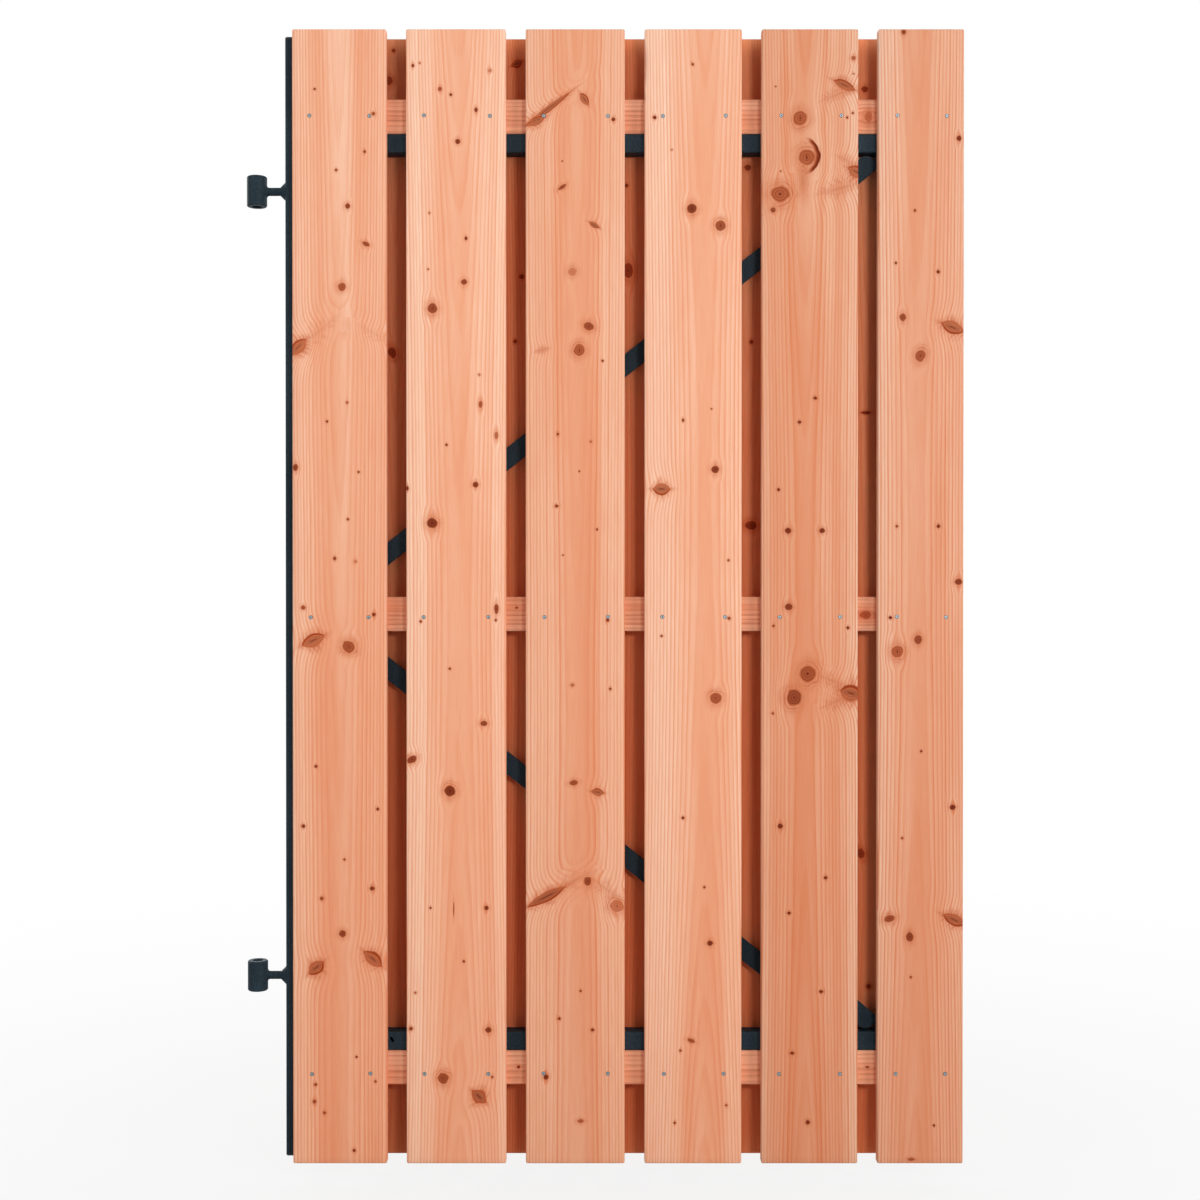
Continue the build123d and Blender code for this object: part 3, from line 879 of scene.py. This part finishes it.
def steelFinish(look):
    finish = Finish("powderCoatedSteel", Specular_IOR_Level=look["specular"])
    spot = finish.spot()
    grain = finish.noise(spot, look["grainScale"], detail=2.0, roughness=0.6)
    cloud = finish.noise(spot, look["cloudScale"], detail=3.0)
    mottle = finish.noise(spot, look["mottleScale"], detail=2.0, roughness=0.6)
    speck = finish.noise(spot, look["speckScale"], detail=1.0)
    colour = finish.layer(look["coat"], [
        (finish.ease(cloud, *look["cloudFrom"]), look["coatPale"]),
        (finish.ease(mottle, *look["mottleFrom"]) * look["mottleShare"], look["coatDark"]),
        (finish.ease(speck, *look["speckFrom"]) * look["speckShare"], look["speck"]),
    ])
    finish.surface(Base_Color=colour, Roughness=finish.spread(look, grain))
    finish.bump(grain, *look["bump"])
    return finish.material


capLook = {
    "plastic": tint(30, 33, 36),
    "plasticPale": tint(44, 47, 50),
    "grainScale": 1500.0,
    "wearScale": 60.0,
    "wearFrom": (0.4, 0.75),
    "roughness": 0.5,
    "roughSpread": 0.2,
    "bump": (0.2, 0.15 * mm),
    "specular": 0.3,
}


def capFinish(look):
    finish = Finish("capPlastic", Specular_IOR_Level=look["specular"])
    spot = finish.spot()
    grain = finish.noise(spot, look["grainScale"], detail=1.0)
    wear = finish.noise(spot, look["wearScale"], detail=3.0)
    colour = finish.blend(finish.ease(wear, *look["wearFrom"]), look["plastic"], look["plasticPale"])
    finish.surface(Base_Color=colour, Roughness=finish.spread(look, wear))
    finish.bump(grain, *look["bump"])
    return finish.material


steel = steelFinish(steelLook)
for nodeName in ("hinge_upright", "lock_upright", "top_bar", "bottom_bar", "upper_brace", "lower_brace",
                 "upper_corner_plate", "lower_corner_plate", "upper_hinge_eye", "lower_hinge_eye"):
    dress(nodeName, steel)
capPlastic = capFinish(capLook)
for nodeName in ("upper_cap", "lower_cap"):
    dress(nodeName, capPlastic)
print("stage: steel and caps dressed")

screwLook = {
    # the sloped ring from here in to the head is painted dark as shade
    "shadeRingRadius": 3.3 * mm,
    "headRadius": 2.5 * mm,
    "headRise": 0.4 * mm,
    "sides": 12,
    "recessRadius": 1.3 * mm,
    "recessWaist": 0.62,  # every other corner of the star is drawn in to this share
    "recessDepth": 0.35 * mm,
    "insetLeft": 29.0 * mm,
    "insetRight": 26.5 * mm,
    "scatterAcross": 2.0 * mm,
    "scatterUp": 0.6 * mm,
    "heights": (1.3938, 0.6000, -0.1260),
    "zinc": tint(106, 120, 128),
    "zincPale": tint(194, 206, 212),
    "zincScale": 700.0,
    "zincRough": (0.3, 0.2),  # the least, and how much more where the zinc is pale
    "zincBump": (0.1, 0.1 * mm),
    # the recess and the ring round each head take these dark colours as painted shade
    "recess": tint(42, 41, 44),
    "deepShade": tint(30, 26, 26),
    "deepShadeScale": 900.0,
    "deepShadeRough": (0.6, 0.2),  # the same where the painted shade is deepest
    "seed": 7,
}


def zincFinish(look):
    finish = Finish("zincScrew", Metallic=0.4)
    cloud = finish.noise(finish.spot(), look["zincScale"], detail=2.0)
    least, more = look["zincRough"]
    colour = finish.blend(cloud, look["zinc"], look["zincPale"])
    finish.surface(Base_Color=colour, Roughness=least + cloud * more)
    finish.bump(cloud, *look["zincBump"])
    return finish.material


# the dark material of the ring round each head and of the recess: painted shade
def screwShadeFinish(look):
    finish = Finish("screwShade", Metallic=0.3)
    deepShade = finish.noise(finish.spot(), look["deepShadeScale"], detail=2.0)
    least, more = look["deepShadeRough"]
    colour = finish.blend(deepShade, look["recess"], look["deepShade"])
    finish.surface(Base_Color=colour, Roughness=least + deepShade * more)
    return finish.material


def shapeScrew(bm, look):
    # a sloped ring round a flat head with a star recess, looking along -Y; the ring and the recess are
    # painted dark as shade
    made = bmesh.ops.create_cone(bm, cap_ends=True, segments=look["sides"], radius1=look["shadeRingRadius"],
                                 radius2=look["headRadius"], depth=look["headRise"])["verts"]
    bmesh.ops.rotate(bm, verts=made, matrix=Matrix.Rotation(math.radians(90), 3, "X"))
    crown = min(bm.faces, key=lambda face: face.calc_center_median().y)
    bmesh.ops.inset_region(bm, faces=[crown], thickness=look["headRadius"] - look["recessRadius"])
    for number, vert in enumerate(crown.verts):
        if number % 2:
            vert.co.x *= look["recessWaist"]
            vert.co.z *= look["recessWaist"]
    head = [face for face in bm.faces if abs(face.normal.y + 1) < slack]
    recess = bmesh.ops.extrude_discrete_faces(bm, faces=[crown])["faces"]
    bmesh.ops.translate(bm, vec=(0, look["recessDepth"], 0), verts=recess[0].verts)
    for face in bm.faces:
        # zinc on the flat head; painted shade on every other face: the ring, the recess and the underside
        face.material_index = 0 if face in head and face not in recess else 1
    return list(bm.verts) + list(bm.edges) + list(bm.faces)


def driveScrews(name, boards, faceOf, outward):
    rng = random.Random(screwLook["seed"])
    bm = bmesh.new()
    pattern = shapeScrew(bm, screwLook)
    for nodeName in boards:
        low, high = plankBoxes[nodeName]
        for height in screwLook["heights"]:
            for x in (low.x + screwLook["insetLeft"], high.x - screwLook["insetRight"]):
                copied = bmesh.ops.duplicate(bm, geom=pattern)["geom"]
                verts = [part for part in copied if isinstance(part, bmesh.types.BMVert)]
                turn = Matrix.Rotation(rng.uniform(0, math.tau), 3, "Y")
                bmesh.ops.rotate(bm, verts=verts, matrix=turn)
                if outward > 0:
                    bmesh.ops.rotate(bm, verts=verts, matrix=Matrix.Rotation(math.pi, 3, "Z"))
                away = (x + rng.uniform(-1, 1) * screwLook["scatterAcross"],
                        faceOf(low, high) + outward * screwLook["headRise"] / 2,
                        height + rng.uniform(-1, 1) * screwLook["scatterUp"])
                bmesh.ops.translate(bm, vec=away, verts=verts)
    spare = [part for part in pattern if isinstance(part, bmesh.types.BMVert)]
    bmesh.ops.delete(bm, geom=spare, context="VERTS")
    finishMesh(name, bm, [zinc, screwShade])


zinc = zincFinish(screwLook)
screwShade = screwShadeFinish(screwLook)
driveScrews("front_screws", list(frontBoards), lambda low, high: low.y, -1)
driveScrews("rear_screws", list(rearBoards["knots"]), lambda low, high: high.y, 1)
print("stage: screws driven")

studio = {
    "eye": (0.5498, -2.676, 0.6436),
    "aim": (0.5498, -0.033, 0.627),
    "lens": 50.0,
    "sensor": 36.0,
    "floorZ": -0.30,
    "floorSize": 30.0,
    "floorTone": 0.45,
    "shadowShare": 0.16,  # how much of the floor under the leaf takes the shadow, the rest is plain white
    "shadowReach": 1.6,
    "fill": 0.24,
    "lamps": {  # turn and height in degrees from the front, distance and size in metres, power in watts
        "keyLight": (22.0, 14.0, 3.0, (0.6, 0.6), 32.0),
        "rightBox": (52.0, 16.0, 4.5, (1.5, 2.6), 86.0),
        "leftBox": (-52.0, 32.0, 3.8, (1.3, 2.2), 46.0),
        "rearRightBox": (130.0, 20.0, 4.5, (1.5, 2.6), 74.0),
        "rearLeftBox": (-130.0, 20.0, 4.5, (1.5, 2.6), 74.0),
        "rearKey": (194.0, 14.0, 3.0, (0.6, 0.6), 26.0),
    },
}


def seenBackground(finish):
    # 1 for rays that show the background: from the camera, off metal and through glass
    path = finish.node("LightPath")
    outputs = path.socket.node.outputs
    seen = Value(finish, outputs["Is Camera Ray"]).math("MAXIMUM", Value(finish, outputs["Is Glossy Ray"]))
    return seen.math("MAXIMUM", Value(finish, outputs["Is Transmission Ray"]))


class WorldFinish(Finish):
    def __init__(self, world):
        world.use_nodes = True
        self.tree = world.node_tree
        self.shader = self.tree.nodes["Background"]


def lightWorld():
    world = bpy.data.worlds.new("studioWhite")
    bpy.context.scene.world = world
    finish = WorldFinish(world)
    finish.shader.inputs["Color"].default_value = (1, 1, 1, 1)
    seen = seenBackground(finish)
    finish.surface(Strength=studio["fill"] + (1 - studio["fill"]) * seen)


def layFloor():
    bm = bmesh.new()
    bmesh.ops.create_grid(bm, x_segments=1, y_segments=1, size=studio["floorSize"] / 2)
    bmesh.ops.translate(bm, vec=(studio["aim"][0], 0, studio["floorZ"]), verts=bm.verts)
    finish = Finish("paleFloor", Roughness=1.0, Specular_IOR_Level=0.0)
    finish.shader.inputs["Base Color"].default_value = (*[studio["floorTone"]] * 3, 1)
    glow = finish.node("Emission")
    whole = Value(finish, finish.shader.outputs[0])
    x, y, z = finish.split(finish.spot())
    aside = x - studio["aim"][0]
    away = (aside * aside + y * y) / studio["shadowReach"] ** 2
    plain = 1 - (away * -1).math("EXPONENT") * studio["shadowShare"]
    mixed = finish.node("MixShader", None, {0: seenBackground(finish) * plain, 1: whole, 2: glow})
    finish.feed(finish.tree.nodes["Material Output"].inputs["Surface"], mixed)
    floor = addMesh("floor", bm, [finish.material])


def hangLamp(name, turn, up, away, size, power):
    lamp = bpy.data.lights.new(name, "AREA")
    lamp.energy = power
    lamp.shape = "RECTANGLE"
    lamp.size, lamp.size_y = size
    turn, up = math.radians(turn), math.radians(up)
    back = Vector((math.sin(turn) * math.cos(up), -math.cos(turn) * math.cos(up), math.sin(up)))
    holder = bpy.data.objects.new(name, lamp)
    holder.location = Vector(studio["aim"]) + back * away
    holder.rotation_euler = (-back).to_track_quat("-Z", "Y").to_euler()
    holder.visible_camera = False
    bpy.context.scene.collection.objects.link(holder)


def setCamera():
    camera = bpy.data.cameras.new("frontView")
    camera.lens = studio["lens"]
    camera.sensor_width = studio["sensor"]
    holder = bpy.data.objects.new("frontView", camera)
    holder.location = studio["eye"]
    look = Vector(studio["aim"]) - Vector(studio["eye"])
    holder.rotation_euler = look.to_track_quat("-Z", "Y").to_euler()
    bpy.context.scene.collection.objects.link(holder)
    bpy.context.scene.camera = holder


lightWorld()
layFloor()
for lampName, place in studio["lamps"].items():
    hangLamp(lampName, *place)
setCamera()
bpy.context.scene.view_settings.view_transform = "Standard"
print("stage: studio lit")
